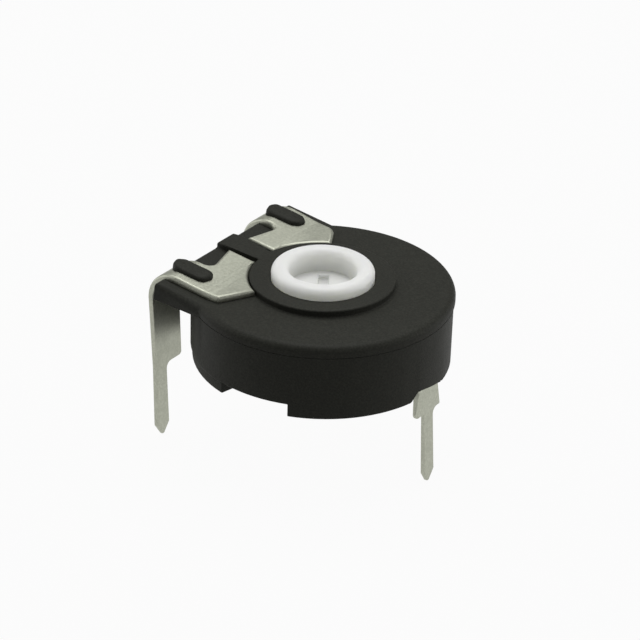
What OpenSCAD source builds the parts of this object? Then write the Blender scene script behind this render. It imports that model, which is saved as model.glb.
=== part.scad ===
// Single-turn carbon trimmer potentiometer for a printed circuit board, adjusted from above.
// Millimetres, +Z up. The origin is on the rotor's axis, in the plane of the board's top face.
// +X points from the two outer terminals to the wiper terminal.

/* [Housing] */
// Radius of the round flange at the top of the housing
flange_r = 7.4; // [6.9:0.05:9]
// Height of the flange's top face above the board
flange_top = 5.72; // [5.5:0.02:7]
// Height of the flange's band, from its top face to the step
flange_band = 0.68; // [0.6:0.02:1.6]
// Radius of the rounding on the flange's top edge
flange_round = 0.45; // [0.1:0.05:0.55]
// Step from the flange in to the skirt below it
skirt_step = 0.08; // [0.02:0.01:0.2]
// Height of the skirt's lower edge above the board
skirt_edge = 2; // [1.85:0.05:2.15]
// Height of the rim below the skirt's edge
rim_drop = 0.74; // [0.6:0.02:0.9]
// Step in of the rim on the side of the outer terminals
rim_step = 0.1; // [0.02:0.01:0.2]
// Thickness of the skirt's wall
skirt_wall = 1.02; // [0.7:0.02:1.2]
// Thickness of the roof over the cavity
roof_t = 0.85; // [0.6:0.05:1.1]
// Overlap of the crimped rim under the base plate
crimp_lap = 0.3; // [0.1:0.05:0.5]

/* [Rim notches] */
// Half angle of the notch that the wiper terminal comes out of
wiper_notch = 12; // [11:0.5:20]
// Height of that notch's top edge above the board
wiper_notch_top = 1.68; // [1.6:0.02:1.76]
// Angle from the wiper terminal to the middle of each side notch
side_notch_at = 86; // [70:1:110]
// Half angle of each side notch
side_notch = 17; // [5:0.5:25]

/* [Boss and bar] */
// Radius of the raised boss around the rotor
boss_r = 4.08; // [3.8:0.02:4.4]
// Height of the boss above the flange
boss_rise = 0.4; // [0.3:0.02:0.7]
// Half width of the bar between the outer terminals, at the boss
bar_half_in = 0.56; // [0.3:0.02:0.7]
// Half width of the bar where its outer block starts
bar_half_mid = 0.8; // [0.6:0.02:0.82]
// Half width of the bar at its outer end
bar_half_out = 0.7; // [0.5:0.02:0.8]
// Height of the bar's outer block above the boss
bar_rise = 0.24; // [0.1:0.02:0.4]
// Length of the bar's outer block
bar_block = 0.65; // [0.4:0.05:1.2]

/* [Terminal ledge] */
// Half width of the ledge that carries the outer terminals
ledge_half = 6.3; // [6:0.05:6.6]
// Distance from the flange's edge in to the ledge's outer edge
ledge_in = 0.5; // [0.4:0.02:0.6]
// Depth of the ledge's underside below the flange's top face
ledge_drop = 0.75; // [0.5:0.05:0.8]
// Radius of the rounding along the ledge's long edges
ledge_round = 0.28; // [0.1:0.02:0.4]
// Distance from the rotor's axis to the line where the ledge starts to rise
ramp_x = 4; // [3.9:0.05:4.1]
// Rise of the ledge towards its outer edge, in degrees
ramp_angle = 6.7; // [0:0.1:8]

/* [Staked posts] */
// Length of each staked head
post_l = 2.45; // [2:0.05:2.5]
// Width of each staked head
post_w = 1.1; // [0.9:0.05:1.3]
// Height of each staked head above the terminal
post_rise = 0.27; // [0.15:0.01:0.4]
// Distance from the rotor's axis to each head's middle along X
post_x = 5.8; // [5.7:0.02:5.85]
// Overlap of each staked head on its terminal along its sides
post_lap = 0.12; // [0.05:0.01:0.2]
// Length of each post's shank through its terminal
shank_l = 1.15; // [0.95:0.05:1.2]

/* [Terminals] */
// Thickness of the terminals' sheet
sheet_t = 0.38; // [0.3:0.01:0.42]
// Inside radius of the bend at the top of the outer legs
bend_r = 1.45; // [1.2:0.05:1.5]
// Distance from the flange's edge out to the outer legs' middle plane at its bend
outer_leg_out = 0.42; // [0.4:0.01:0.8]
// Inward lean of the outer legs left by their bend, in degrees
leg_lean = 2.6; // [0:0.1:4]
// Distance from the rotor's axis to each outer pin along Y
pin_y = 5; // [4.7:0.05:5.3]
// Width of each pin
pin_w = 0.92; // [0.7:0.01:1.05]
// Length of each pin below the board's top face
pin_l = 4.4; // [3:0.1:6]
// Length of the taper at each pin's tip
tip_l = 0.65; // [0.3:0.05:1]
// Width left at each pin's tip
tip_w = 0.16; // [0.1:0.02:0.4]
// Thickness left at each pin's tip
tip_t = 0.2; // [0.1:0.02:0.3]
// Radius of the hollow corner where a pin leaves its shoulder
shoulder_r = 0.38; // [0.2:0.02:0.5]
// Distance from the rotor's axis to the outer edge of each outer strip
strip_out = 5.55; // [5.5:0.01:5.8]
// Distance from the rotor's axis to the inner edge of each outer strip
strip_in = 3.15; // [2.9:0.01:3.3]
// Distance from the rotor's axis to the inner edge of each outer leg
leg_in = 3.5; // [3.35:0.01:3.9]

/* [Fan plates] */
// Distance from the rotor's axis to the edge of each fan plate beside the bar
fan_side = 0.87; // [0.84:0.01:1]
// Distance from the rotor's axis to the tip of each fan plate along X
fan_tip = 5.92; // [5.8:0.02:6.1]
// Sideways lean of each fan plate's back edge, as X over Y
fan_lean = 0.24; // [0.1:0.01:0.3]
// Radius of the hollow corner between fan and strip
fan_hollow = 0.45; // [0.2:0.01:0.55]
// Gap between each fan plate and the boss
fan_gap = 0.06; // [0.04:0.01:0.15]
// Angle from the wiper terminal to each fan plate's end edge
fan_end = 119; // [112:0.5:125]
// Radius of the outer corner of the fan plate on the -Y side
near_corner = 0.2; // [0.1:0.05:0.6]
// Radius of the outer corner of the fan plate on the +Y side
far_corner = 0.6; // [0.1:0.05:0.8]
// Width of the contact tongue under each fan plate
tongue_w = 0.9; // [0.6:0.05:1.1]
// Distance from the rotor's axis to each tongue's middle along X
tongue_at = 5.05; // [4.9:0.05:5.2]
// Distance from each fan plate's edge beside the bar in to its tongue
tongue_in = 0.2; // [0.1:0.05:0.4]

/* [Wiper terminal] */
// Distance from the flange's edge in to the wiper leg's middle plane at its bend
wiper_leg_in = 0.42; // [0.35:0.01:0.5]
// Width of the wiper leg above its shoulders
wiper_leg_w = 2.3; // [2:0.05:2.5]
// Outward lean of the wiper leg left by its bend, in degrees
wiper_splay = 4; // [0:0.25:6]
// Inside radius of the wiper leg's bend
wiper_bend_r = 0.15; // [0.08:0.01:0.25]
// Radius of the outer corner at the bottom of the wiper leg's wide part
wiper_corner = 0.35; // [0.1:0.05:0.45]

/* [Rotor] */
// Radius of the rotor's collar
collar_r = 2.88; // [2.6:0.01:3]
// Height of the collar above the boss
collar_rise = 0.62; // [0.3:0.02:0.8]
// Radius of the rounding on the collar's lip
lip_round = 0.38; // [0.2:0.02:0.42]
// Radius of the driver recess in the collar
recess_r = 1.9; // [1.6:0.01:1.98]
// Depth of the driver recess below the lip
recess_depth = 1.3; // [0.9:0.05:1.4]
// Length of the cross slot's arms from tip to tip
slot_l = 2.9; // [2.2:0.05:3]
// Width of the cross slot's arms
slot_w = 0.6; // [0.4:0.02:0.8]
// Depth of the cross slot below the recess
slot_depth = 0.7; // [0.3:0.05:0.9]
// Angle of the cross slot from +X at the middle of the travel
slot_angle = 33; // [0:1:90]
// Distance from the cavity's wall in to the edge of the rotor's disc
disc_gap = 1; // [0.95:0.05:1.3]
// Thickness of the rotor's disc
disc_t = 0.8; // [0.5:0.02:0.85]
// Radius of the rotor's journal in the base plate
journal_r = 2.4; // [2:0.05:2.8]
// Travel of the rotor to each side of the middle, in degrees
travel = 132.5; // [110:0.5:140]
// Half angle of the stop lug on the disc
lug_half = 12; // [8:0.5:16]

/* [Resistive element] */
// Thickness of the element's board
board_t = 0.5; // [0.3:0.02:0.6]
// Thickness of the printed layers
ink_t = 0.04; // [0.02:0.01:0.08]
// Distance from the board's outer edge in to the carbon track
track_edge = 0.85; // [0.65:0.05:1.05]
// Width of the carbon track
track_w = 1.2; // [1:0.05:1.3]
// Angle from the middle of the track to each of its ends
track_half = 120; // [110:1:128]

/* [Wiper contact] */
// Thickness of the contact spring's sheet
spring_t = 0.15; // [0.1:0.01:0.2]
// Width of each contact finger
finger_w = 0.5; // [0.3:0.02:0.6]
// Distance between the middles of the two track fingers
finger_pitch = 0.9; // [0.7:0.02:1.1]

/* [Fits] */
// Radial clearance between the rotor and each bore that it turns in
turn_clear = 0.04; // [0.02:0.01:0.08]
// Clearance along the axis between the rotor and what holds it
end_clear = 0.05; // [0.03:0.01:0.1]
// Clearance around a fixed piece in its seat
seat_clear = 0.05; // [0.02:0.01:0.08]
// Angle left between the stop lug and the stop at the end of the travel
stop_clear = 0.5; // [0.3:0.1:1]
// Gap between a contact finger and what it rubs on
rub_gap = 0.02; // [0.01:0.01:0.04]

/* [Hidden] */
$fn = 96;
// A length that reaches past every piece
far = 30;

// Radii and levels of the housing
skirt_r = flange_r - skirt_step;
cavity_r = skirt_r - skirt_wall;
disc_r = cavity_r - disc_gap;
band_low = flange_top - flange_band;
rim_low = skirt_edge - rim_drop;
step_top = skirt_edge - 0.06;
roof_low = flange_top - roof_t;
boss_top = flange_top + boss_rise;
bore_r = collar_r + turn_clear;

// Places and levels of the outer terminals, the ledge and the bar
ledge_x = flange_r - ledge_in;
ledge_low = flange_top - ledge_drop;
ledge_bevel = 0.12;
leg_turn = ramp_angle + leg_lean;
bend_mid_r = bend_r + sheet_t / 2;
// A leg stands this little inside the faces of its bend, and runs this far up into it
leg_inset = 0.002;
leg_overlap = 0.02;
leg_t = sheet_t - 2 * leg_inset;
leg_x = flange_r + outer_leg_out;
bend_run = (leg_x - bend_mid_r * cos(leg_lean) - ramp_x - bend_r * sin(ramp_angle)) / cos(ramp_angle);
bend_x = ramp_x + bend_run;
bend_z = flange_top - bend_r;
bend_level = flange_top + bend_run * sin(ramp_angle) - bend_r * cos(ramp_angle);
room_r = bend_r - 0.15;
room_x = bend_x - 0.1;
post_y = (strip_in + strip_out) / 2;
shank_x = bend_x - 0.16 - shank_l / 2;
bar_x = ledge_x - 0.04;
bar_in_x = boss_r - 0.2;
bar_top = boss_top + bar_rise;
bar_bevel = 0.12;
fan_r = boss_r + fan_gap;
fan_corner_x = strip_out / tan(fan_end);
tongue_y = fan_side + tongue_in;

// Base plate of the wiper terminal, seated just below the skirt's edge
seat_top = skirt_edge - 0.02;
base_top = seat_top - 0.02;
base_low = base_top - sheet_t;
base_r = cavity_r + 0.25;
wiper_x = flange_r - wiper_leg_in;
wiper_bend_x = wiper_x - sheet_t / 2 - wiper_bend_r;
wiper_bend_z = base_low - wiper_bend_r;
wiper_mid_r = wiper_bend_r + sheet_t / 2;
wiper_room_r = wiper_bend_r + sheet_t + seat_clear;
wiper_room_x = wiper_bend_x + sqrt(pow(wiper_room_r, 2) - pow(wiper_notch_top - wiper_bend_z, 2));

// Levels and radii of the rotor, from its lower face up
journal_low = base_low - 0.1;
rotor_low = base_top + end_clear;
foot_r = journal_r + 0.8;
disc_low = rotor_low + 0.5;
disc_top = disc_low + disc_t;
neck_r = collar_r + 0.42;
neck_top = roof_low - end_clear;
collar_top = boss_top + collar_rise;
recess_low = collar_top - recess_depth;

// Resistive element under the roof
board_low = roof_low - board_t;
board_in = neck_r + 0.2;
board_out = cavity_r - seat_clear;
track_out = board_out - track_edge;
track_in = track_out - track_w;
board_half_gap = fan_side - 0.35;
track_low = board_low - ink_t;
tongue_drop = flange_top - track_low + 0.05 + (tongue_at - ramp_x) * sin(ramp_angle);
tongue_low = flange_top - tongue_drop / cos(ramp_angle);
pad_in = track_in - 0.1;
pad_out = tongue_at + tongue_w / 2 + 0.4;
pad_half_gap = fan_side - 0.2;

// Stop in the cavity and the lug that meets it
lug_r = cavity_r - 0.25;
stop_in = disc_r + 0.15;
stop_half = 180 - travel - lug_half - stop_clear;
stop_low = skirt_edge + 0.1;
stop_top = track_low - 0.12;

// Contact spring on the rotor's disc
spring_in = neck_r + 0.06;
spring_out = spring_in + 0.7;
spring_top = disc_top + spring_t;
pip_at = (spring_in + spring_out) / 2;
pip_r = 0.16;
rub_at = (track_in + track_out) / 2;
rub_top = track_low - rub_gap;
rub_low = base_top + rub_gap;
window_in = spring_out - 0.05;
window_out = disc_r - 0.25;

// Ring or sector between two radii and two levels, from an angle through a sweep
module ring(r_in, r_out, low, high, from = 0, sweep = 360) {
    rotate([0, 0, from])
        rotate_extrude(angle = sweep)
            translate([r_in, low])
                square([r_out - r_in, high - low]);
}

// Oblong with semicircular ends, along X and centred on the origin
module oblong(l, w) {
    square([l - w, w], center = true);
    for (side = [-1, 1])
        translate([side * (l - w) / 2, 0])
            circle(d = w);
}

// Rectangle with rounded corners, centred on the origin
module rounded_rect(w, h, r) {
    square([w - 2 * r, h], center = true);
    square([w, h - 2 * r], center = true);
    for (sx = [-1, 1], sy = [-1, 1])
        translate([sx * (w / 2 - r), sy * (h / 2 - r)])
            circle(r);
}

// Outline in X and Z, drawn out to both sides along Y
module across_y() {
    rotate([90, 0, 0])
        linear_extrude(far, center = true)
            children();
}

// Outline in Y and Z, drawn out along X between two places
module along_x(from, to) {
    translate([from, 0, 0])
        rotate([90, 0, 90])
            linear_extrude(to - from)
                children();
}

// Round body of the housing: rim with its notches, skirt, flange with its rounded edge, and boss
module round_body() {
    difference() {
        rotate_extrude() {
            translate([0, rim_low])
                square([skirt_r, band_low - rim_low]);
            translate([0, band_low])
                square([flange_r, flange_band - flange_round]);
            translate([0, band_low])
                square([flange_r - flange_round, flange_band]);
            translate([flange_r - flange_round, flange_top - flange_round])
                circle(flange_round);
            translate([0, band_low])
                square([boss_r, boss_top - band_low]);
        }
        ring(1, far, rim_low - 1, wiper_notch_top, -wiper_notch, 2 * wiper_notch);
        translate([1, -wiper_leg_w / 2 - seat_clear, 0])
            cube([wiper_room_x - 1, wiper_leg_w + 2 * seat_clear, skirt_edge]);
        for (side = [-1, 1])
            ring(1, far, rim_low - 1, skirt_edge, side * side_notch_at - side_notch, 2 * side_notch);
        ring(skirt_r - rim_step, far, rim_low - 1, step_top, side_notch_at, 360 - 2 * side_notch_at);
    }
}

// Lifts pieces that lie on the flange's level onto the ledge's rising top
module on_ramp() {
    translate([-ramp_x, 0, flange_top])
        rotate([0, ramp_angle, 0])
            translate([ramp_x, 0, -flange_top])
                children();
}

// Room in the ledge's end for the bend of an outer terminal, on the +Y side
module bend_room() {
    translate([0, strip_out + seat_clear, flange_top - room_r])
        rotate([90, 0, 0])
            linear_extrude(strip_out - strip_in + 2 * seat_clear)
                difference() {
                    translate([-far, 0])
                        square([far - room_x, room_r + 1]);
                    translate([-room_x, 0])
                        circle(room_r);
                }
}

// Ledge that carries the outer terminals, with rounded long edges and a bevelled end
module ledge() {
    deep = 4;
    intersection() {
        on_ramp()
            difference() {
                intersection() {
                    translate([0, 0, flange_top - deep / 2])
                        along_x(-ledge_x, 0)
                            rounded_rect(2 * ledge_half, deep, ledge_round);
                    across_y()
                        polygon([[-ledge_x, 0], [-ledge_x, flange_top - ledge_bevel],
                                 [-ledge_x + ledge_bevel, flange_top], [0, flange_top], [0, 0]]);
                }
                bend_room();
                mirror([0, 1, 0])
                    bend_room();
            }
        translate([-far, -far, ledge_low])
            cube([far - ramp_x + 1, 2 * far, far]);
    }
}

// Bar between the outer terminals, wider and higher at its outer end
module bar() {
    mid_x = bar_x - bar_block;
    intersection() {
        across_y()
            polygon([[-bar_x, ledge_low], [-bar_x, bar_top - bar_bevel], [-bar_x + bar_bevel, bar_top],
                     [-mid_x, bar_top], [-bar_in_x, boss_top], [-bar_in_x, ledge_low]]);
        linear_extrude(far)
            polygon([[-bar_x, -bar_half_out], [-bar_x, bar_half_out], [-mid_x, bar_half_mid],
                     [-bar_in_x, bar_half_in], [-bar_in_x, -bar_half_in], [-mid_x, -bar_half_mid]]);
    }
}

// Upper half of a soft-edged section, as wide as a staked head
module head_section(from) {
    intersection() {
        rounded_rect(post_w, 2 * post_rise, post_rise * 0.8);
        translate([from, 0])
            square([post_w, post_rise]);
    }
}

// Underside of a staked head where it follows the bend of its terminal
module head_over_bend() {
    drop = post_l / 6;
    lift = post_rise / 6;
    difference() {
        translate([0, 0, sheet_t - drop])
            linear_extrude(drop + lift)
                intersection() {
                    oblong(post_l - 0.02, post_w - 0.02);
                    translate([post_x - bend_x - far, -far / 2])
                        square(far);
                }
        translate([post_x - bend_x, 0, -bend_r])
            rotate([90, 0, 0])
                cylinder(r = bend_r + sheet_t + 0.01, h = far, center = true);
    }
}

// Post through an outer terminal, with its head staked over into a soft oblong
module staked_post() {
    straight = post_l - post_w;
    translate([post_x - shank_x, 0, -0.1])
        linear_extrude(sheet_t + 0.15)
            oblong(shank_l, post_w - 2 * post_lap);
    head_over_bend();
    translate([0, 0, sheet_t]) {
        along_x(-straight / 2, straight / 2)
            head_section(-post_w / 2);
        for (side = [-1, 1])
            translate([side * straight / 2, 0, 0])
                rotate_extrude()
                    head_section(0);
    }
}

// Slot that a contact tongue passes through, on the side given
module tongue_slot(side, low, high) {
    on_ramp()
        translate([-tongue_at, side * (tongue_y + sheet_t / 2), (low + high) / 2])
            cube([tongue_w + 2 * seat_clear, sheet_t + 2 * seat_clear, high - low], center = true);
}

// Black moulding: body, ledge, bar, posts, rotor bore, cavity and end stop in one piece
module housing() {
    color([0.16, 0.16, 0.14]) {
        difference() {
            union() {
                round_body();
                ledge();
                bar();
            }
            translate([0, 0, roof_low - 1])
                cylinder(r = bore_r, h = far);
            translate([0, 0, base_top])
                cylinder(r = cavity_r, h = roof_low - base_top);
            translate([0, 0, base_low - 0.01])
                cylinder(r = base_r + seat_clear, h = seat_top - base_low + 0.01);
            translate([0, 0, rim_low - 1])
                cylinder(r = base_r - crimp_lap, h = base_low - rim_low + 1);
            for (side = [-1, 1])
                tongue_slot(side, roof_low - 1, flange_top + 1);
        }
        ring(stop_in, cavity_r + 0.1, stop_low, stop_top, 180 - stop_half, 2 * stop_half);
        for (side = [-1, 1])
            on_ramp()
                translate([-post_x, side * post_y, flange_top])
                    staked_post();
    }
}

// Distance along X from the axis to a fan plate's back edge, at a distance along Y
function fan_back(y) = fan_tip - fan_lean * (y - fan_side);

// Open corner between a fan plate and its strip
module fan_notch() {
    slant = sqrt(1 + fan_lean * fan_lean);
    cy = strip_in - fan_hollow;
    cx = fan_back(cy) + fan_hollow * slant;
    translate([-cx, cy])
        circle(fan_hollow);
    polygon([[-far, -far], [-fan_back(-far), -far],
             [-cx + fan_hollow / slant, cy - fan_hollow * fan_lean / slant],
             [-cx, cy], [-cx, strip_in], [-far, strip_in]]);
}

// What the rounding takes off a fan plate's outer corner
module fan_corner(r) {
    reach = r / tan(fan_end / 2);
    centre = [fan_corner_x - reach, strip_out - r];
    on_end = [fan_corner_x - reach * cos(fan_end), strip_out - reach * sin(fan_end)];
    past_end = on_end + [sin(fan_end), -cos(fan_end)];
    difference() {
        polygon([centre, centre + [0, r + 1], [past_end[0], centre[1] + r + 1], past_end, on_end]);
        translate(centre)
            circle(r);
    }
}

// Flat outline of an outer terminal's fan plate and strip, on the +Y side
module fan_outline(corner) {
    difference() {
        polygon([[-bend_x, fan_side], [fan_side / tan(fan_end), fan_side],
                 [fan_corner_x, strip_out], [-bend_x, strip_out]]);
        fan_notch();
        fan_corner(corner);
        circle(fan_r);
        translate([-shank_x, post_y])
            oblong(shank_l + 2 * seat_clear, post_w - 2 * post_lap + 2 * seat_clear);
    }
}

// Tongue standing down from a fan plate to the end of the resistive element
module tongue() {
    translate([-tongue_at - tongue_w / 2, tongue_y, tongue_low])
        cube([tongue_w, sheet_t, flange_top + 0.05 - tongue_low]);
}

// Side view of a leg, thinned towards its tip, with its middle plane at X = 0
module leg_side(tip) {
    polygon([[-leg_t / 2, leg_overlap], [-leg_t / 2, tip + tip_l], [-tip_t / 2, tip],
             [tip_t / 2, tip], [leg_t / 2, tip + tip_l], [leg_t / 2, leg_overlap]]);
}

// Face of a pin from its shoulder down to its pointed tip, around a middle line
module pin_face(middle, shoulder, tip) {
    translate([middle, 0])
        polygon([[-pin_w / 2, shoulder], [-pin_w / 2, tip + tip_l], [-tip_w / 2, tip],
                 [tip_w / 2, tip], [pin_w / 2, tip + tip_l], [pin_w / 2, shoulder]]);
}

// Hollow corner under a shoulder at height zero, against the left edge of a pin
module hollow_corner(edge) {
    difference() {
        translate([edge - shoulder_r, -shoulder_r])
            square(shoulder_r + 0.01);
        translate([edge - shoulder_r, -shoulder_r])
            circle(shoulder_r);
    }
}

// Distance down a leaning outer leg, from its bend, to a level
function down_outer(level) =
    (bend_level - bend_mid_r * sin(leg_lean) - level) / cos(leg_lean);

// Leg of an outer terminal on the +Y side, from its bend down
module outer_leg() {
    shoulder = -down_outer(0);
    tip = -down_outer(-pin_l);
    top_in = strip_in + leg_inset;
    top_out = strip_out - leg_inset;
    intersection() {
        along_x(-sheet_t, sheet_t) {
            polygon([[top_in, 1], [top_in, 0], [leg_in, -0.3], [leg_in, shoulder],
                     [pin_y + pin_w / 2, shoulder], [top_out, 0], [top_out, 1]]);
            pin_face(pin_y, shoulder + 0.01, tip);
            translate([0, shoulder])
                hollow_corner(pin_y - pin_w / 2);
        }
        across_y()
            leg_side(tip);
    }
}

// Outer terminal on the +Y side: one stamping of fan plate, strip, bend, leg and tongue
module outer_terminal(corner) {
    intersection() {
        translate([0, 0, flange_top])
            linear_extrude(sheet_t)
                fan_outline(corner);
        translate([-ramp_x, -far, 0])
            cube(2 * far);
    }
    on_ramp() {
        intersection() {
            translate([0, 0, flange_top])
                linear_extrude(sheet_t)
                    fan_outline(corner);
            translate([-far - ramp_x, -far, 0])
                cube([far, 2 * far, far]);
        }
        translate([-bend_x, strip_out, bend_z])
            rotate([90, 0, 0])
                rotate([0, 0, 90])
                    rotate_extrude(angle = 90 + leg_turn)
                        translate([bend_r, 0])
                            square([sheet_t, strip_out - strip_in]);
        translate([-bend_x, 0, bend_z])
            rotate([0, -leg_turn, 0])
                translate([-bend_mid_r, 0, 0])
                    outer_leg();
        tongue();
    }
}

// Bright stamping nearest the -Y side
module near_terminal() {
    color([0.72, 0.72, 0.68])
        mirror([0, 1, 0])
            outer_terminal(near_corner);
}

// Bright stamping on the +Y side
module far_terminal() {
    color([0.72, 0.72, 0.68])
        outer_terminal(far_corner);
}

// Distance down the leaning wiper leg, from its bend, to a level
function down_leg(level) =
    (wiper_bend_z - level + wiper_mid_r * sin(wiper_splay)) / cos(wiper_splay);

// Face of the wiper leg, with one rounded and one hollow shoulder
module wiper_leg_face() {
    shoulder = -down_leg(0);
    half = wiper_leg_w / 2 - leg_inset;
    translate([-half, shoulder + wiper_corner])
        square([2 * half, leg_overlap - shoulder]);
    translate([-half + wiper_corner, shoulder])
        square([2 * half - wiper_corner, wiper_corner + 0.01]);
    translate([-half + wiper_corner, shoulder + wiper_corner])
        circle(wiper_corner);
    pin_face(0, shoulder + 0.01, -down_leg(-pin_l));
    translate([0, shoulder])
        mirror([1, 0])
            hollow_corner(-pin_w / 2);
}

// Wiper terminal: one stamping of base plate, neck, bend and leg
module wiper_terminal() {
    half = wiper_leg_w / 2;
    color([0.72, 0.72, 0.68]) {
        difference() {
            union() {
                translate([0, 0, base_low])
                    cylinder(r = base_r, h = sheet_t);
                translate([journal_r + 1, -half, base_low])
                    cube([wiper_bend_x - journal_r - 1, wiper_leg_w, sheet_t]);
            }
            translate([0, 0, base_low - 1])
                cylinder(r = journal_r + turn_clear, h = 2);
        }
        translate([wiper_bend_x, half, wiper_bend_z])
            rotate([90, 0, 0])
                rotate([0, 0, wiper_splay])
                    rotate_extrude(angle = 90 - wiper_splay)
                        translate([wiper_bend_r, 0])
                            square([sheet_t, wiper_leg_w]);
        translate([wiper_bend_x, 0, wiper_bend_z])
            rotate([0, -wiper_splay, 0])
                translate([wiper_mid_r, 0, 0])
                    intersection() {
                        along_x(-sheet_t, sheet_t)
                            wiper_leg_face();
                        across_y()
                            leg_side(-down_leg(-pin_l));
                    }
    }
}

// Cross slot for a driver, cut from a level up through a depth
module cross_slot(low, depth) {
    for (turn = [0, 90])
        rotate([0, 0, slot_angle + turn])
            translate([-slot_l / 2, -slot_w / 2, low])
                cube([slot_l, slot_w, depth]);
}

// Collar of the rotor with its rounded lip, down to the disc
module collar() {
    rim_z = collar_top - lip_round;
    rotate_extrude() {
        translate([0, disc_low])
            square([collar_r, rim_z - disc_low]);
        translate([recess_r + lip_round, disc_low])
            square([collar_r - recess_r - 2 * lip_round, collar_top - disc_low]);
        translate([0, disc_low])
            square([recess_r + lip_round, rim_z - disc_low]);
        for (r = [recess_r + lip_round, collar_r - lip_round])
            translate([r, rim_z])
                circle(lip_round);
    }
}

// White moulding: collar, neck, disc with stop lug, bearing foot and journal
module rotor() {
    color([0.9, 0.9, 0.87])
        difference() {
            union() {
                collar();
                translate([0, 0, disc_low])
                    cylinder(r = neck_r, h = neck_top - disc_low);
                translate([0, 0, disc_low])
                    cylinder(r = disc_r, h = disc_t);
                translate([0, 0, rotor_low])
                    cylinder(r = foot_r, h = disc_low - rotor_low + 0.1);
                translate([0, 0, journal_low])
                    cylinder(r = journal_r, h = rotor_low - journal_low + 0.1);
                ring(disc_r - 0.5, lug_r, disc_low + 0.1, disc_top - 0.1, -lug_half, 2 * lug_half);
                for (side = [-1, 1])
                    translate([0, side * pip_at, disc_low])
                        cylinder(r = pip_r, h = disc_t + 2 * spring_t);
            }
            translate([0, 0, recess_low])
                cylinder(r = recess_r, h = far);
            cross_slot(recess_low - slot_depth, far);
            cross_slot(journal_low - 1, slot_depth + 1);
            translate([-window_out, -finger_w / 2 - 0.15, disc_low - 1])
                cube([window_out - window_in, finger_w + 0.3, disc_t + 2]);
        }
}

// One bent finger of the contact spring, through points along its upper side
module finger(points, y) {
    count = len(points);
    translate([0, y + finger_w / 2, 0])
        rotate([90, 0, 0])
            linear_extrude(finger_w)
                polygon(concat(points, [for (i = [count - 1:-1:0]) points[i] - [0, spring_t]]));
}

// Contact spring: a ring on the rotor's disc, two fingers up to the track and one down to the base
module wiper_spring() {
    rub_half = 0.06;
    hook = 0.24;
    color([0.8, 0.72, 0.5])
        difference() {
            union() {
                ring(spring_in, spring_out, disc_top, spring_top);
                for (side = [-1, 1])
                    finger([[spring_in + 0.15, spring_top], [spring_out, spring_top],
                            [rub_at - rub_half, rub_top], [rub_at + rub_half, rub_top],
                            [rub_at + rub_half + hook, rub_top - hook]],
                           side * finger_pitch / 2);
                finger([[-spring_in - 0.15, spring_top], [-spring_out, spring_top],
                        [-rub_at + rub_half, rub_low + spring_t], [-rub_at - rub_half, rub_low + spring_t],
                        [-rub_at - rub_half - hook / 2, rub_low + spring_t + hook]], 0);
            }
            for (side = [-1, 1])
                translate([0, side * pip_at, 0])
                    cylinder(r = pip_r + 0.02, h = far);
        }
}

// Horseshoe board of the resistive element, against the roof
module element_board() {
    color([0.55, 0.36, 0.2])
        difference() {
            ring(board_in, board_out, board_low, roof_low);
            translate([-far, -board_half_gap, 0])
                cube([far, 2 * board_half_gap, far]);
            for (side = [-1, 1])
                tongue_slot(side, board_low - 1, roof_low + 1);
        }
}

// Carbon track printed on the board's underside
module carbon_track() {
    color([0.1, 0.1, 0.1])
        ring(track_in, track_out, track_low, board_low, -track_half, 2 * track_half);
}

// Silver end pad printed from the track's end to round the tongue, on the +Y side
module end_pad() {
    color([0.75, 0.75, 0.75])
        difference() {
            ring(pad_in, pad_out, track_low, board_low, track_half, 180 - track_half);
            translate([-far, -pad_half_gap, 0])
                cube([far, 2 * pad_half_gap, far]);
            tongue_slot(1, track_low - 1, board_low + 1);
        }
}

// End pad on the -Y side
module near_end_pad() {
    mirror([0, 1, 0])
        end_pad();
}

// End pad on the +Y side
module far_end_pad() {
    end_pad();
}

housing();
near_terminal();
far_terminal();
wiper_terminal();
rotor();
wiper_spring();
element_board();
carbon_track();
near_end_pad();
far_end_pad();
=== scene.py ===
"""Looks of a single-turn trimmer potentiometer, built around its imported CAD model.

The file is laid out as an add-on and is run as a script. One operator makes each piece or
group of like pieces and one makes the stage. All lengths in the code are millimetres until
they reach Blender, which works in metres.
"""

import math

import bmesh
import bpy
import numpy as np
from mathutils import Matrix, Vector


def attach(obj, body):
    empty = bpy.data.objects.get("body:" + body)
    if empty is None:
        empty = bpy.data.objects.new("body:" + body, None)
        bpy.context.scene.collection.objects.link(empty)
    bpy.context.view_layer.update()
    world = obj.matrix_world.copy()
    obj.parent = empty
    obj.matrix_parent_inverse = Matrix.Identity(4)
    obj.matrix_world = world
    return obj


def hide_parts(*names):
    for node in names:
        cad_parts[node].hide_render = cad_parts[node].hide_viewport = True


bl_info = {
    "name": "Trimmer potentiometer looks",
    "version": (1, 0, 0),
    "blender": (4, 5, 0),
    "location": "3D View > Sidebar > Trimmer",
    "description": "Dresses the packed trimmer potentiometer with rounded edges and finishes",
    "category": "Object",
}

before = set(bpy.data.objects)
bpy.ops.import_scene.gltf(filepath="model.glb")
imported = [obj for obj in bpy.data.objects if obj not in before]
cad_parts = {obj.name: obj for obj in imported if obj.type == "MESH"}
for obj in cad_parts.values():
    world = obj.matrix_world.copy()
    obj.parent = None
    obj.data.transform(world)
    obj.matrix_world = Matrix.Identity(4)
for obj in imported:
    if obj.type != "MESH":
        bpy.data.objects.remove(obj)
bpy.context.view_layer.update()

MM = 0.001
CASE = "case"
TURNING = "rotor_assembly"

# Level of the flange's top face, and the line and rise of the terminal ledge
FLANGE_TOP = 5.72
RAMP_X = -4.0
RAMP_RISE = math.radians(6.7)

# Thickness of the terminals' sheet, and the level of the floor under the pins' tips
SHEET = 0.38
TIP_LEVEL = -4.408

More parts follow.
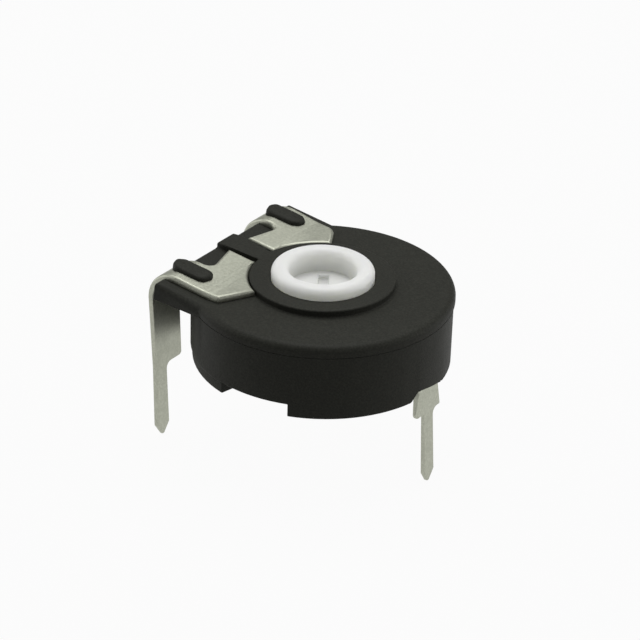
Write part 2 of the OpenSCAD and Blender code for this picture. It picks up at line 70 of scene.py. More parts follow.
# Levels in the CAD of the wiper leg's notch and of the floor of the rotor's cross slot
NOTCH_TOP = 1.68
SLOT_FLOOR = 4.74
SHALLOW_SLOT_FLOOR = 5.17

# Centre of each staked head on the ledge, and the line where the strip under it starts to bend
HEAD_X = -5.8
HEAD_Y = 4.35
BEND_X = -6.024
BEND_R = 1.45
BEND_OUTER_R = BEND_R + SHEET
BEND_ANGLE = math.radians(99.3)
BEND_LENGTH = (BEND_R + SHEET / 2) * BEND_ANGLE

# How far from its line the fold at the ledge's foot reaches
FOLD_REACH = 0.6

# Places on an outer terminal's flat pattern, along it from the rotor's axis
STRIP_START = 6.0
LEG_TOP = -BEND_X + BEND_LENGTH
SHOULDER = LEG_TOP + 4.446
PIN_TIP = LEG_TOP + 8.851
PIN_POINT = PIN_TIP - 0.65

# Edges of the flat pattern, as distances to the side of the rotor's axis
FAN_EDGE = 0.87
STRIP_EDGES = (3.15, 5.55)
PIN_EDGES = (4.54, 5.46)
TIP_EDGES = (4.92, 5.08)

# The fan's circle beside the boss and its end in degrees, and the radii of the other arcs
FAN_RADIUS = 4.14
FAN_START = 12.13
FAN_END = 61
HOLLOW_RADIUS = 0.45
SHOULDER_RADIUS = 0.22
PIN_HOLLOW_RADIUS = 0.38

# Rounding of the sheet's lower edges and of the pin's tip, and how much the tip thins
LOWER_ROUND = 0.04
TIP_ROUND = 0.05
TIP_THINNING = 0.47


def colour(name, description, rgb):
    """A colour property with its default."""
    return bpy.props.FloatVectorProperty(
        name=name, description=description, default=rgb, subtype="COLOR", min=0, max=1, size=3
    )


def length(name, description, millimetres):
    """A length property whose default is given in millimetres."""
    return bpy.props.FloatProperty(
        name=name, description=description, default=millimetres * MM, unit="LENGTH", precision=5
    )


class TrimmerSizes(bpy.types.PropertyGroup):
    """Sizes of the small forms that this file adds to the CAD solids."""

    moulded_edge: length("Moulded edge", "Rounding of the black moulding's edges", 0.06)
    rolled_edge: length("Rolled edge", "Rounding where the die drew the sheet's edge in", 0.19)
    sheared_edge: length("Sheared edge", "Rounding of the wiper terminal's edges", 0.05)
    rotor_edge: length("Rotor edge", "Rounding of the white moulding's edges", 0.04)
    head_length: length("Head length", "Length of a staked head", 2.5)
    head_width: length("Head width", "Width of a staked head", 1.14)
    head_rise: length("Head rise", "Height of a staked head above the terminal", 0.29)


class TrimmerColours(bpy.types.PropertyGroup):
    """Colours of the finishes."""

    black: colour("Black moulding", "Housing", (0.022, 0.0226, 0.0185))
    black_worn: colour("Rubbed black", "Paler grain of the housing", (0.036, 0.0368, 0.030))
    tin: colour("Tinned sheet", "Terminals", (0.50, 0.512, 0.432))
    tin_dull: colour("Dull tin", "Duller grains of the terminals", (0.37, 0.38, 0.315))
    white: colour("White moulding", "Rotor", (0.785, 0.79, 0.76))
    white_shade: colour("Shaded white", "Duller patches of the rotor", (0.75, 0.76, 0.73))
    spring: colour("Contact spring", "Copper alloy of the contact spring", (0.74, 0.64, 0.42))
    board: colour("Element board", "Phenolic paper of the element's board", (0.30, 0.16, 0.07))
    carbon: colour("Carbon ink", "Resistive track", (0.022, 0.022, 0.023))
    silver: colour("Silver ink", "End pads of the track", (0.66, 0.66, 0.64))


class Socket:
    """A value in a material's node tree. Arithmetic on it adds Math nodes."""

    def __init__(self, shade, link):
        self.shade = shade
        self.link = link

    def _math(self, operation, first, second):
        return self.shade.node("ShaderNodeMath", {"operation": operation}, {0: first, 1: second})

    def __add__(self, other):
        return self._math("ADD", self, other)

    __radd__ = __add__

    def __sub__(self, other):
        return self._math("SUBTRACT", self, other)

    def __rsub__(self, other):
        return self._math("SUBTRACT", other, self)

    def __mul__(self, other):
        return self._math("MULTIPLY", self, other)

    __rmul__ = __mul__


class Shade:
    """One material and the nodes that it is made of."""

    def __init__(self, name):
        self.material = bpy.data.materials.new(name)
        self.material.use_nodes = True
        self.nodes = self.material.node_tree.nodes
        self.links = self.material.node_tree.links
        self.nodes.clear()

    def node(self, kind, settings=None, inputs=None, output=0):
        """Adds a node: its settings first, then the values or links of its sockets."""
        made = self.nodes.new(kind)
        for key, value in (settings or {}).items():
            setattr(made, key, value)
        for key, value in (inputs or {}).items():
            if isinstance(value, Socket):
                self.links.new(value.link, made.inputs[key])
            else:
                made.inputs[key].default_value = value
        return Socket(self, made.outputs[output]) if len(made.outputs) else None

    def place(self, stretch=(1, 1, 1)):
        """Object coordinates in millimetres, stretched along each axis."""
        where = self.node("ShaderNodeTexCoord", output="Object")
        scale = tuple(s / MM for s in stretch)
        return self.node("ShaderNodeMapping", None, {"Vector": where, "Scale": scale})

    def noise(self, where, scale, detail=3.0, roughness=0.55):
        """Noise from 0 to 1, with scale in waves to the millimetre."""
        return self.node(
            "ShaderNodeTexNoise",
            None,
            {"Vector": where, "Scale": scale, "Detail": detail, "Roughness": roughness},
        )

    def cells(self, where, scale):
        """Distance to the nearest of scattered points."""
        return self.node("ShaderNodeTexVoronoi", None, {"Vector": where, "Scale": scale})

    def ramp(self, value, low, high):
        """Smooth step of a value from 0 at low to 1 at high."""
        return self.node(
            "ShaderNodeMapRange",
            {"interpolation_type": "SMOOTHSTEP"},
            {"Value": value, "From Min": low, "From Max": high},
        )

    def blend(self, factor, first, second):
        """Mixes two colours."""
        made = self.nodes.new("ShaderNodeMix")
        made.data_type = "RGBA"
        for key, value in ((0, factor), (6, first), (7, second)):
            if isinstance(value, Socket):
                self.links.new(value.link, made.inputs[key])
            else:
                made.inputs[key].default_value = value if key == 0 else (*value, 1)
        return Socket(self, made.outputs[2])

    def bump(self, height, depth):
        """Normal from a height, with its full depth in millimetres."""
        inputs = {"Height": height, "Distance": depth * MM, "Strength": 1.0}
        return self.node("ShaderNodeBump", None, inputs)

    def surface(self, **sockets):
        """Ends the material in one Principled shader; names take _ for a space."""
        inputs = {name.replace("_", " "): value for name, value in sockets.items()}
        if "Specular" in inputs:
            inputs["Specular IOR Level"] = inputs.pop("Specular")
        shader = self.node("ShaderNodeBsdfPrincipled", None, inputs)
        self.node("ShaderNodeOutputMaterial", None, {"Surface": shader})
        return self.material


def paint(objects, material):
    """Gives objects one material."""
    for item in objects:
        item.data.materials.clear()
        item.data.materials.append(material)


def black_moulding(colours):
    """Glass-filled black plastic: fine moulded grain, rubbed patches and a little dust."""
    shade = Shade("black_moulding")
    where = shade.place()
    grain = shade.noise(where, 9.0, 4.0, 0.65)
    patches = shade.noise(where, 0.9, 2.0)
    specks = shade.cells(where, 1.9)
    dust = (1 - shade.ramp(specks, 0.02, 0.06)) * shade.ramp(patches, 0.5, 0.7)
    worn = shade.ramp(grain, 0.35, 0.7)
    base = shade.blend(worn, tuple(colours.black), tuple(colours.black_worn))
    base = shade.blend(patches * 0.3, base, tuple(colours.black))
    base = shade.blend(dust * 0.3, base, (0.12, 0.12, 0.11))
    return shade.surface(
        Base_Color=base,
        Roughness=0.46 + patches * 0.08 + grain * 0.1,
        Specular=0.09,
        Normal=shade.bump(grain, 0.012),
    )


def tinned_sheet(colours):
    """Matt tin on rolled sheet: fine grains, faint rolling marks and handling scratches."""
    shade = Shade("tinned_sheet")
    where = shade.place()
    grains = shade.noise(where, 6.5, 4.0, 0.7)
    clouds = shade.noise(where, 1.1, 4.0)
    rolled = shade.noise(shade.place((0.6, 16.0, 16.0)), 1.0, 2.0)
    scratch = shade.ramp(shade.noise(shade.place((0.35, 9.0, 9.0)), 1.0, 1.0), 0.66, 0.7)
    base = shade.blend(shade.ramp(grains, 0.3, 0.75), tuple(colours.tin_dull), tuple(colours.tin))
    base = shade.blend(clouds * 0.35, base, tuple(colours.tin_dull))
    return shade.surface(
        Base_Color=base,
        Metallic=1.0,
        Roughness=0.40 + clouds * 0.16 + grains * 0.08 - scratch * 0.05,
        Normal=shade.bump(grains + rolled * 0.3 - scratch * 0.2, 0.010),
    )


def white_moulding(colours):
    """White plastic that lets a little light in, with a soft sheen."""
    shade = Shade("white_moulding")
    where = shade.place()
    grain = shade.noise(where, 8.0, 3.0)
    patches = shade.noise(where, 1.0, 3.0)
    base = shade.blend(shade.ramp(patches, 0.4, 0.8) * 0.6 + grain * 0.2,
                       tuple(colours.white), tuple(colours.white_shade))
    return shade.surface(
        Base_Color=base,
        Roughness=0.38 + patches * 0.14,
        Specular=0.4,
        Subsurface_Weight=1.0,
        Subsurface_Radius=(2.2 * MM, 2.2 * MM, 2.0 * MM),
        Subsurface_Scale=1.0,
        Normal=shade.bump(grain, 0.004),
    )


def spring_alloy(colours):
    """Cold-rolled copper alloy strip with fine rolling lines."""
    shade = Shade("spring_alloy")
    lines = shade.noise(shade.place((0.8, 22.0, 22.0)), 1.0, 3.0)
    tarnish = shade.noise(shade.place(), 2.2, 3.0)
    dull = shade.ramp(tarnish, 0.45, 0.8) * 0.5
    base = shade.blend(dull, tuple(colours.spring), (0.42, 0.30, 0.17))
    return shade.surface(
        Base_Color=base,
        Metallic=1.0,
        Roughness=0.26 + tarnish * 0.18,
        Normal=shade.bump(lines, 0.003),
    )


def phenolic_paper(colours):
    """Brown laminate: short paper fibres and darker resin."""
    shade = Shade("phenolic_paper")
    fibres = shade.noise(shade.place((3.0, 12.0, 30.0)), 1.0, 5.0, 0.65)
    resin = shade.noise(shade.place(), 1.6, 3.0)
    base = shade.blend(shade.ramp(fibres, 0.35, 0.7), tuple(colours.board), (0.42, 0.25, 0.12))
    base = shade.blend(resin * 0.4, base, tuple(colours.board))
    return shade.surface(
        Base_Color=base, Roughness=0.5 + fibres * 0.2, Normal=shade.bump(fibres, 0.008)
    )


def printed_ink(name, ink, metallic, roughness):
    """Screen-printed and baked ink with the mesh's faint texture."""
    shade = Shade(name)
    where = shade.place()
    grain = shade.noise(where, 20.0, 4.0, 0.6)
    film = shade.noise(where, 3.0, 3.0)
    base = shade.blend(grain * 0.5, ink, tuple(v * 0.72 for v in ink))
    return shade.surface(
        Base_Color=base,
        Metallic=metallic,
        Roughness=roughness + film * 0.15,
        Normal=shade.bump(grain, 0.005),
    )


def link_piece(name, mesh, body):
    """Makes a finished mesh a piece that rides on a body."""
    piece = bpy.data.objects.new(name, mesh)
    bpy.context.scene.collection.objects.link(piece)
    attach(piece, body)
    return piece


def smooth_by_angle(mesh, degrees):
    """Shades a mesh smooth, with edges sharper than the angle left sharp."""
    mesh.shade_smooth()
    mesh.set_sharp_from_angle(angle=math.radians(degrees))


def keep_faces_flat(piece):
    """Shades the large faces flat, so that only the roundings between them turn the light."""
    flat = piece.modifiers.new("flat_faces", "WEIGHTED_NORMAL")
    flat.keep_sharp = True
    flat.weight = 80


def shaped_housing(points):
    """Over the wiper terminal, the notch's upper edge slants down towards +Y, and its end
    at -Y leans in over the leg, along the skirt's circle."""
    x, y, z = points.T
    lip = (np.abs(z - NOTCH_TOP) < 0.01) & (x > 6.9) & (np.abs(y) < 1.6)
    near = np.where(lip & (y < -0.9), -0.9 + (y + 0.9) * 0.1, y)
    x = np.where(lip, np.sqrt(np.maximum(x**2 + y**2 - near**2, 0)), x)
    return np.stack([x, near, np.where(lip, 1.6 - 0.19 * near, z)], axis=-1)


def shaped_wiper_terminal(points):
    """The wiper leg widens downwards from its bend, in proportion to the fall, and thins."""
    x, y, z = points.T
    neck = (x > 6.6) & (z > 0.3) & (np.abs(y) > 1)
    fall = np.clip((1.43 - z) / 1.08, 0, 1)
    y = np.where(neck & (y < 0), -0.82 - 0.38 * fall, y)
    y = np.where(neck & (y > 0), 1.06 + 0.24 * fall, y)
    low = (z <= 0.3) & (x > 6.6)
    y = np.where(low & (y < -0.6) & (z > -0.1), y - 0.15, y) + 0.1 * low
    outside = 7.334 + 0.048 * (0.362 - z)
    inner = (z < 0.5) & (x > 6.6) & (x < outside - 0.2)
    return np.stack([np.where(inner, outside - 0.29, x), y, z], axis=-1)


def shaped_rotor(points):
    """The cross slot in the recess is shallow and its floor is level."""
    x, y, z = points.T
    floor = (np.abs(z - SLOT_FLOOR) < 0.01) & (np.hypot(x, y) < 1.6)
    return np.stack([x, y, np.where(floor, SHALLOW_SLOT_FLOOR, z)], axis=-1)


def under_strip(middles):
    """True for edges in the ledge's rooms for the strips' bends, where faces meet at so small
    an angle that a rounding would run out into a needle."""
    x, y, z = np.abs(middles.T)
    return (x > 5.95) & (y > 3.05) & (y < 5.65) & (z > 4.3) & (middles[:, 0] < 0)


def weigh_edges(mesh, kept):
    """Marks the sharp edges for rounding, but for those whose middles the function kept names."""
    count = len(mesh.edges)
    sharp = np.zeros(count, bool)
    mesh.attributes["sharp_edge"].data.foreach_get("value", sharp)
    ends = np.empty(count * 2, np.int32)
    mesh.edges.foreach_get("vertices", ends)
    places = np.empty(len(mesh.vertices) * 3)
    mesh.vertices.foreach_get("co", places)
    middles = places.reshape(-1, 3)[ends.reshape(-1, 2)].mean(axis=1) / MM
    if kept:
        sharp &= ~kept(middles)
    weights = mesh.attributes.new("bevel_weight_edge", "FLOAT", "EDGE")
    weights.data.foreach_set("value", sharp.astype(np.float32))


def rounded_copy(node, width, name, body, segments=2, reshape=None, kept=None):
    """A CAD node's shape with its edges rounded, which stands for that node. The function
    reshape moves its points, and kept names the edges that stay sharp."""
    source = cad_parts[node].data
    count = len(source.vertices)
    places = np.empty(count * 3)
    source.vertices.foreach_get("co", places)
    loops = np.empty(len(source.loops), np.int32)
    source.loops.foreach_get("vertex_index", loops)
    places = places.reshape(-1, 3)
    if reshape:
        places = reshape(places / MM) * MM
    mesh = bpy.data.meshes.new(name)
    mesh.from_pydata(places, [], loops.reshape(-1, 3))
    work = bmesh.new()
    work.from_mesh(mesh)
    bmesh.ops.remove_doubles(work, verts=work.verts, dist=0.004 * MM)
    bmesh.ops.dissolve_degenerate(work, edges=work.edges, dist=0.0005 * MM)
    flat = math.radians(0.3)
    bmesh.ops.dissolve_limit(work, angle_limit=flat, verts=work.verts, edges=work.edges)
    work.to_mesh(mesh)
    work.free()
    smooth_by_angle(mesh, 32)
    weigh_edges(mesh, kept)
    piece = link_piece(name, mesh, body)
    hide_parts(node)
    bevel = piece.modifiers.new("rounded_edges", "BEVEL")
    bevel.width = width
    bevel.segments = segments
    bevel.limit_method = "WEIGHT"
    bevel.use_clamp_overlap = False
    keep_faces_flat(piece)
    return piece


def ring_faces(rows, columns):
    """Four-sided faces between neighbouring closed rings of points, as numbers of points."""
    i, j = np.meshgrid(np.arange(rows - 1), np.arange(columns), indexing="ij")
    k = (j + 1) % columns
    corners = [i * columns + j, i * columns + k, (i + 1) * columns + k, (i + 1) * columns + j]
    return np.stack(corners, axis=-1).reshape(-1, 4)


def grid_mesh(name, points):
    """A mesh from rings of points. Points that fall together at a pole or a ridge are merged."""
    mesh = bpy.data.meshes.new(name)
    mesh.from_pydata(points.reshape(-1, 3) * MM, [], ring_faces(*points.shape[:2]))
    work = bmesh.new()
    work.from_mesh(mesh)
    bmesh.ops.remove_doubles(work, verts=work.verts, dist=0.0002 * MM)
    bmesh.ops.recalc_face_normals(work, faces=work.faces)
    work.to_mesh(mesh)
    work.free()
    return mesh


def onto_ramp(points):
    """Turns points that lie on the flange's level onto the ledge's rising top."""
    x = points[..., 0] - RAMP_X
    z = points[..., 2] - FLANGE_TOP
    turned = points.copy()
    turned[..., 0] = RAMP_X + x * math.cos(RAMP_RISE) + z * math.sin(RAMP_RISE)
    turned[..., 2] = FLANGE_TOP - x * math.sin(RAMP_RISE) + z * math.cos(RAMP_RISE)
    return turned


def staked_head(sizes, side):
    """Surface of a staked head. Going round, by angle t, the outline is an oblong: a middle
    straight that cos t slides along, and an end radius in the direction t. Going in, by the
    factor p from 1 to 0, the end radius shrinks and the height follows a superellipse,
    rise * (1 - p^3.5)^(1/3.5). The underside falls with the strip's bend, a circle about the
    bend's axis. Sine waves make it a little uneven, as melted plastic is."""
    radius = sizes.head_width / MM / 2
    straight = sizes.head_length / MM / 2 - radius
    rise = sizes.head_rise / MM
    t = np.linspace(0, 2 * math.pi, 96, endpoint=False)[None, :]
    q = np.linspace(0, math.pi / 2, 22)
    p = np.concatenate([[0.0, 1.0], np.cos(q)])[:, None]
    z = np.concatenate([[-0.03, -0.03], rise * (1 - np.cos(q) ** 3.5) ** (1 / 3.5)])[:, None]
    low = z < 0
    phase = 0.7 * side
    x = straight * np.clip(np.cos(t) * 4, -1, 1) + radius * p * np.cos(t)
    y = radius * p * np.sin(t)
    swell = 0.014 * np.sin(3 * x + phase) + 0.010 * np.sin(5 * y + 2 * x + 2 * phase)
    dome = z + np.where(z > 0, swell * z / rise, 0)
    edge = 1 + 0.02 * np.sin(3 * t + phase) + 0.012 * np.sin(7 * t - phase)
    x = HEAD_X + x * edge
    past = np.minimum(x - BEND_X, 0)
    fall = np.sqrt(BEND_OUTER_R**2 - past**2) - BEND_OUTER_R
    z = FLANGE_TOP + SHEET + dome + low * fall
    return onto_ramp(np.stack([x, side * HEAD_Y + y * edge, z], axis=-1))


def arc(centre, radius, start, end, count=9):
    """Points on a circle from one angle to another, in degrees."""
    t = np.radians(np.linspace(start, end, count))
    return np.stack([centre[0] + radius * np.cos(t), centre[1] + radius * np.sin(t)], axis=-1)


def flat_pattern(free_edge, corner_r):
    """Outline of an outer terminal before it is bent: distance along it from the rotor's axis,
    and distance to the side. Straight edges run between circular arcs: the boss side of the fan,
    its outer corner, the pin's hollow corner, the shoulder, and the hollow corner of strip and
    fan. The outer corner's arc touches the fan's end edge and its free edge, which ends on the
    strip."""
    end = math.radians(FAN_END)
    along_end = np.array([math.cos(end), math.sin(end)])
    corner = np.array([free_edge / math.tan(end), free_edge])
    strip = np.array([STRIP_START, STRIP_EDGES[1]])
    edge = math.atan2(*(strip - corner)[::-1])
    start = corner - corner_r * math.tan((end - edge) / 2) * along_end
    centre = start + corner_r * np.array([along_end[1], -along_end[0]])
    pin_hollow = (SHOULDER + PIN_HOLLOW_RADIUS, PIN_EDGES[0] - PIN_HOLLOW_RADIUS)
    parts = [
        [(5.92, FAN_EDGE)],
        arc((0, 0), FAN_RADIUS, FAN_START, FAN_END, 25),
        arc(centre, corner_r, FAN_END + 90, 90 + math.degrees(edge)),
        [strip, (LEG_TOP, STRIP_EDGES[1]), (SHOULDER, PIN_EDGES[1]), (PIN_POINT, PIN_EDGES[1]),
         (PIN_TIP, TIP_EDGES[1]), (PIN_TIP, TIP_EDGES[0]), (PIN_POINT, PIN_EDGES[0])],
        arc(pin_hollow, PIN_HOLLOW_RADIUS, 90, 180),
        arc((SHOULDER - SHOULDER_RADIUS, 3.4), SHOULDER_RADIUS, 0, -90, 7),
        [(LEG_TOP, STRIP_EDGES[0])],
        arc((5.944, STRIP_EDGES[0] - HOLLOW_RADIUS), HOLLOW_RADIUS, 90, 193.5, 11),
    ]
    return np.concatenate([np.asarray(part, float) for part in parts])


def bent(points):
    """Bends points of the flat pattern (along, aside, up through the sheet): level up to the
    ledge's foot, up the ledge, round a circle of BEND_R by the bend's angle, and straight on.
    The fold at the ledge's foot is a parabola. The sheet thins towards the pin's tip."""
    along, aside, up = points.T
    thin = 1 - TIP_THINNING * np.clip((along - PIN_POINT) / (PIN_TIP - PIN_POINT), 0, 1)
    up = SHEET / 2 + (up - SHEET / 2) * thin
    turn = np.clip((along + BEND_X) / BEND_LENGTH, 0, 1) * BEND_ANGLE
    rest = np.maximum(along - LEG_TOP, 0)
    x = -np.minimum(along, -BEND_X) - (BEND_R + up) * np.sin(turn) - rest * np.cos(turn)
    z = FLANGE_TOP - BEND_R + (BEND_R + up) * np.cos(turn) - rest * np.sin(turn)
    flat = np.stack([x, aside, z], axis=-1)
    near = np.maximum(FOLD_REACH - np.abs(x - RAMP_X), 0)
    soft = near**2 * math.tan(RAMP_RISE) / (4 * FOLD_REACH)
    placed = np.where((x < RAMP_X)[:, None], onto_ramp(flat), flat)
    placed[:, 2] += soft
    return placed


def stamped_terminal(name, side, free_edge, corner_r, roll):
    """An outer terminal, cut from sheet and then bent. Round the flat pattern's outline a
    profile is carried: a small round at the sheet's lower edge, the cut side, and a quarter
    round of radius roll at the upper edge, which is smaller at the pin's tip. Each point of the
    profile lies its inset times the mitre of the two edges inside the outline. The outline's
    round corners are wider than the roll, so that no inset folds over."""
    outline = flat_pattern(free_edge, corner_r)
    step = np.roll(outline, -1, axis=0) - outline
    step /= np.linalg.norm(step, axis=1)[:, None]
    inward = np.stack([step[:, 1], -step[:, 0]], axis=-1)
    before = np.roll(inward, 1, axis=0)
    mitre = (inward + before) / (1 + (inward * before).sum(axis=1))[:, None]
    upper = np.where(outline[:, 0] > PIN_TIP - 1, TIP_ROUND, roll)[None, :, None]
    lower = np.full_like(upper, LOWER_ROUND)
    a = np.radians(np.linspace(0, 90, 4))[:, None, None]
    b = np.radians(np.linspace(0, 90, 7))[:, None, None]
    inset = np.concatenate([lower * (1 - np.sin(a)), upper * (1 - np.cos(b))])
    height = np.concatenate([lower * (1 - np.cos(a)), SHEET - upper * (1 - np.sin(b))])
    rings = np.concatenate([outline + inset * mitre, height], axis=-1)
    points = rings.reshape(-1, 3)
    bottom = np.arange(len(outline))
    top = bottom + len(points) - len(outline)
    walls = ring_faces(*rings.shape[:2])
    mesh = bpy.data.meshes.new(name)
    mesh.from_pydata(points, [], [*walls.tolist(), bottom.tolist(), top.tolist()])
    work = bmesh.new()
    work.from_mesh(mesh)
    fold = np.linspace(-RAMP_X - FOLD_REACH, -RAMP_X + FOLD_REACH, 9)
    for place in (*fold, *np.linspace(-BEND_X, LEG_TOP, 25), SHOULDER, PIN_POINT):
        geometry = work.verts[:] + work.edges[:] + work.faces[:]
        bmesh.ops.bisect_plane(work, geom=geometry, plane_co=(place, 0, 0), plane_no=(1, 0, 0))
    work.to_mesh(mesh)
    places = np.empty(len(mesh.vertices) * 3)
    mesh.vertices.foreach_get("co", places)
    placed = bent(places.reshape(-1, 3))
    placed[:, 1] *= side
    mesh.vertices.foreach_set("co", (placed * MM).ravel())
    work.clear()
    work.from_mesh(mesh)
    bmesh.ops.recalc_face_normals(work, faces=work.faces)
    work.to_mesh(mesh)
    work.free()
    smooth_by_angle(mesh, 32)
    sheet = link_piece(name, mesh, CASE)
    keep_faces_flat(sheet)
    return sheet


class TRIMMER_OT_housing(bpy.types.Operator):
    """Makes the black housing with rounded moulded edges"""

    bl_idname = "trimmer.housing"
    bl_label = "Housing"

    def execute(self, context):
        scene = context.scene
        width = scene.trimmer_sizes.moulded_edge
        shell = rounded_copy("housing", width, "housing_shell", CASE,
                             reshape=shaped_housing, kept=under_strip)
        paint([shell], black_moulding(scene.trimmer_colours))
        return {"FINISHED"}


class TRIMMER_OT_staked_heads(bpy.types.Operator):
    """Makes the two soft heads that hold the outer terminals"""

    bl_idname = "trimmer.staked_heads"
    bl_label = "Staked heads"

    def execute(self, context):
        sizes = context.scene.trimmer_sizes
        for side, name in ((-1, "near_staked_head"), (1, "far_staked_head")):
            mesh = grid_mesh(name, staked_head(sizes, side))
            mesh.shade_smooth()
            head = link_piece(name, mesh, CASE)
            paint([head], bpy.data.materials["black_moulding"])
        return {"FINISHED"}


class TRIMMER_OT_terminals(bpy.types.Operator):
    """Makes the three tinned terminals with sheared edges"""

    bl_idname = "trimmer.terminals"
    bl_label = "Terminals"

    def execute(self, context):
        scene = context.scene
        sizes = scene.trimmer_sizes
        roll = sizes.rolled_edge / MM
        near = stamped_terminal("near_terminal_sheet", -1, 5.55, 0.2, roll)
        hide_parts("near_terminal")
        far = stamped_terminal("far_terminal_sheet", 1, 5.22, 0.8, roll)
        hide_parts("far_terminal")
        wiper = rounded_copy("wiper_terminal", sizes.sheared_edge, "wiper_terminal_sheet", CASE,
                             segments=3, reshape=shaped_wiper_terminal)
        sheets = [near, far, wiper]
        paint(sheets, tinned_sheet(scene.trimmer_colours))
        return {"FINISHED"}


class TRIMMER_OT_rotor(bpy.types.Operator):
    """Makes the white rotor with its rounded driver recess"""

    bl_idname = "trimmer.rotor"
    bl_label = "Rotor"

    def execute(self, context):
        scene = context.scene
        width = scene.trimmer_sizes.rotor_edge
        moulding = rounded_copy("rotor", width, "rotor_moulding", TURNING,
                                reshape=shaped_rotor)
        paint([moulding], white_moulding(scene.trimmer_colours))
        return {"FINISHED"}


class TRIMMER_OT_insides(bpy.types.Operator):
    """Finishes the contact spring, the element's board and its printed layers"""

    bl_idname = "trimmer.insides"
    bl_label = "Insides"

    def execute(self, context):
        colours = context.scene.trimmer_colours
        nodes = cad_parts
        paint([nodes["wiper_spring"]], spring_alloy(colours))
        paint([nodes["element_board"]], phenolic_paper(colours))
        paint([nodes["carbon_track"]], printed_ink("carbon_ink", tuple(colours.carbon), 0.0, 0.45))
        pads = [nodes["near_end_pad"], nodes["far_end_pad"]]
        paint(pads, printed_ink("silver_ink", tuple(colours.silver), 0.9, 0.35))
        return {"FINISHED"}


# The camera, as azimuth, elevation and small turns in degrees, and distance in millimetres
CAMERA_AZIMUTH = 34.464
CAMERA_ELEVATION = 28.047
CAMERA_PAN = 0.063
CAMERA_TILT = -0.866
CAMERA_ROLL = -1.774
CAMERA_DISTANCE = 138.1
LENS = 140.13

# Where the lamps point
LIT_POINT = Vector((0, 0, 3))


def add_camera():
    """A camera that looks at the middle of the flange's top face, then pans, tilts and rolls."""
    a, e = math.radians(CAMERA_AZIMUTH), math.radians(CAMERA_ELEVATION)
    back = Vector((math.sin(a) * math.cos(e), -math.cos(a) * math.cos(e), math.sin(e)))
    place = back * CAMERA_DISTANCE + Vector((0, 0, FLANGE_TOP))
    ahead = -back
    right = ahead.cross(Vector((0, 0, 1))).normalized()
    up = right.cross(ahead)
    for axis, degrees in ((up, CAMERA_PAN), (right, CAMERA_TILT), (ahead, CAMERA_ROLL)):
        turn = Matrix.Rotation(math.radians(degrees), 3, axis)
        ahead, right, up = turn @ ahead, turn @ right, turn @ up
    data = bpy.data.cameras.new("camera")
    data.lens = LENS
    data.clip_start = 1 * MM
    data.clip_end = 10
    camera = bpy.data.objects.new("camera", data)
    bpy.context.scene.collection.objects.link(camera)
    turned = Matrix((right, up, -ahead)).transposed().to_4x4()
    camera.matrix_world = Matrix.Translation(place * MM) @ turned
    bpy.context.scene.camera = camera


def add_lamp(name, place, size, power):
    """A square area lamp that faces the object; place and size in millimetres, power in watts."""
    data = bpy.data.lights.new(name, "AREA")
    data.shape = "SQUARE"
    data.size = size * MM
    data.energy = power
    lamp = bpy.data.objects.new(name, data)
    bpy.context.scene.collection.objects.link(lamp)
    lamp.location = Vector(place) * MM
    direction = LIT_POINT * MM - lamp.location
    lamp.rotation_euler = direction.to_track_quat("-Z", "Y").to_euler()


def floor_paper():
    """White paper. To the camera, glossy and transmitted rays it is mostly even white, so that
    the ground is pale and still keeps the object's shadow."""
    shade = Shade("floor_paper")
    path = "ShaderNodeLightPath"
    camera = shade.node(path, output="Is Camera Ray")
    glossy = shade.node(path, output="Is Glossy Ray")
    through = shade.node(path, output="Is Transmission Ray")
    seen = shade.node("ShaderNodeMath", {"operation": "ADD", "use_clamp": True},
                      {0: camera + glossy, 1: through})
    lit = shade.node("ShaderNodeBsdfDiffuse", None, {"Color": (0.30, 0.30, 0.30, 1)})
    even = shade.node("ShaderNodeEmission", None, {"Color": (1, 1, 1, 1), "Strength": 1.0})
    mixed = shade.node("ShaderNodeMixShader", None, {0: seen * 0.955, 1: lit, 2: even})
    shade.node("ShaderNodeOutputMaterial", None, {"Surface": mixed})
    return shade.material


def add_floor():
    """A round floor under the pins' tips: rings of points, radius r times (cos t, sin t)."""
    t = np.linspace(0, 2 * math.pi, 96, endpoint=False)[None, :]
    r = np.array([0.0, 40.0, 200.0, 1500.0])[:, None]
    points = np.stack([r * np.cos(t), r * np.sin(t), np.full((4, 96), TIP_LEVEL)], axis=-1)
    mesh = grid_mesh("floor", points)
    floor = bpy.data.objects.new("floor", mesh)
    bpy.context.scene.collection.objects.link(floor)
    paint([floor], floor_paper())


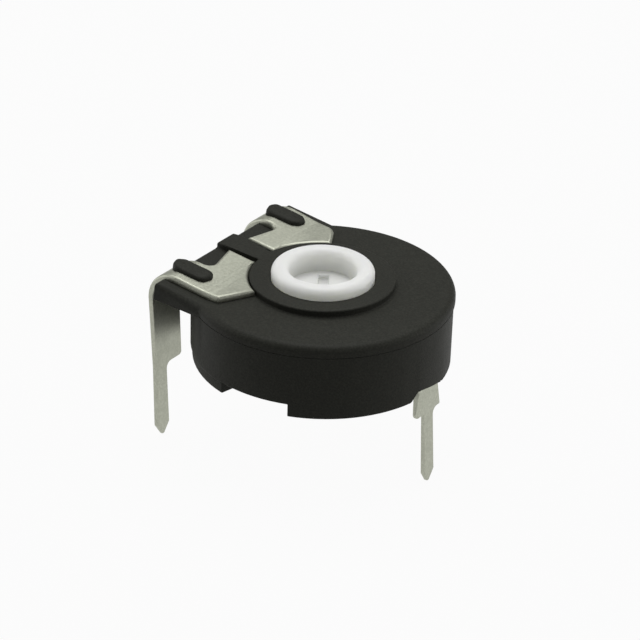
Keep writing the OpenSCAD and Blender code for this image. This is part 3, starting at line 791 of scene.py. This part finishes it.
def add_world(strength):
    """Soft white surroundings: white to the camera, and an even pale light to everything else."""
    world = bpy.data.worlds.new("studio")
    bpy.context.scene.world = world
    world.use_nodes = True
    tree = world.node_tree
    tree.nodes.clear()
    path = tree.nodes.new("ShaderNodeLightPath")
    light = tree.nodes.new("ShaderNodeBackground")
    light.inputs["Color"].default_value = (1, 1, 1, 1)
    light.inputs["Strength"].default_value = strength
    white = tree.nodes.new("ShaderNodeBackground")
    white.inputs["Color"].default_value = (1, 1, 1, 1)
    mix = tree.nodes.new("ShaderNodeMixShader")
    out = tree.nodes.new("ShaderNodeOutputWorld")
    tree.links.new(path.outputs["Is Camera Ray"], mix.inputs[0])
    tree.links.new(light.outputs[0], mix.inputs[1])
    tree.links.new(white.outputs[0], mix.inputs[2])
    tree.links.new(mix.outputs[0], out.inputs["Surface"])


class TRIMMER_OT_stage(bpy.types.Operator):
    """Makes the floor, the soft lamps, the surroundings and the camera"""

    bl_idname = "trimmer.stage"
    bl_label = "Stage"

    def execute(self, context):
        context.scene.view_settings.view_transform = "Standard"
        add_camera()
        add_floor()
        add_world(0.2)
        add_lamp("top_box", (-40, 60, 260), 220, 0.6)
        add_lamp("right_box", (190, 190, 70), 140, 0.19)
        add_lamp("left_box", (-230, -60, 90), 180, 0.2)
        add_lamp("low_box", (230, -20, 60), 160, 0.05)
        return {"FINISHED"}


class TRIMMER_PT_pieces(bpy.types.Panel):
    """Lists the pieces, the sizes and the colours in the sidebar"""

    bl_idname = "TRIMMER_PT_pieces"
    bl_label = "Trimmer potentiometer"
    bl_space_type = "VIEW_3D"
    bl_region_type = "UI"
    bl_category = "Trimmer"

    def draw(self, context):
        for step in STEPS:
            self.layout.operator(f"trimmer.{step}")
        for group in (context.scene.trimmer_sizes, context.scene.trimmer_colours):
            for name in group.__annotations__:
                self.layout.prop(group, name)


STEPS = ("housing", "staked_heads", "terminals", "rotor", "insides", "stage")
CLASSES = (
    TrimmerSizes,
    TrimmerColours,
    TRIMMER_OT_housing,
    TRIMMER_OT_staked_heads,
    TRIMMER_OT_terminals,
    TRIMMER_OT_rotor,
    TRIMMER_OT_insides,
    TRIMMER_OT_stage,
    TRIMMER_PT_pieces,
)


def register():
    for item in CLASSES:
        bpy.utils.register_class(item)
    bpy.types.Scene.trimmer_sizes = bpy.props.PointerProperty(type=TrimmerSizes)
    bpy.types.Scene.trimmer_colours = bpy.props.PointerProperty(type=TrimmerColours)


def unregister():
    del bpy.types.Scene.trimmer_colours
    del bpy.types.Scene.trimmer_sizes
    for item in reversed(CLASSES):
        bpy.utils.unregister_class(item)


def main():
    """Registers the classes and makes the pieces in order."""
    register()
    for step in STEPS:
        getattr(bpy.ops.trimmer, step)()


if __name__ == "__main__":
    main()
